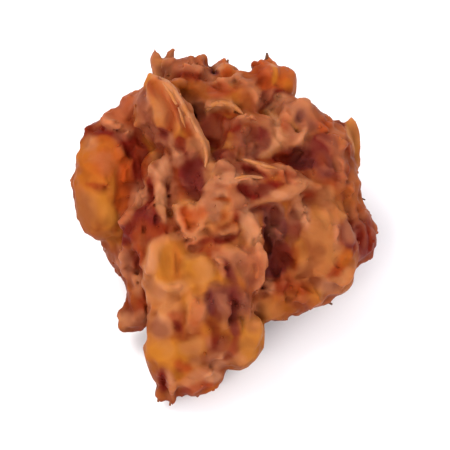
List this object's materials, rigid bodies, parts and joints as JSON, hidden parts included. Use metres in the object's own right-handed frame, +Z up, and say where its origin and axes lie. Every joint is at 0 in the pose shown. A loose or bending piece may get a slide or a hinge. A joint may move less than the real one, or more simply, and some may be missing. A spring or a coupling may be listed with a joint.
{
  "type": "vegetable pakora",
  "caption": "Deep-fried clump of battered onion, carrot and pepper slices, lying on a small flat with its broad lumpy face up.",
  "frame": {"origin": "middle of the lowest face of the bounding box, at the surface that the pakora lies on", "axes": "+Z up, -Y towards the viewer and the thick front lobe, +X to the viewer's right"},
  "size_m": [0.0688, 0.0744, 0.0463],
  "materials": {
    "fried_batter": "crisp, slightly oily fried crust"
  },
  "bodies": {
    "root": {"pakora": "fried_batter"}
  },
  "joints": []
}
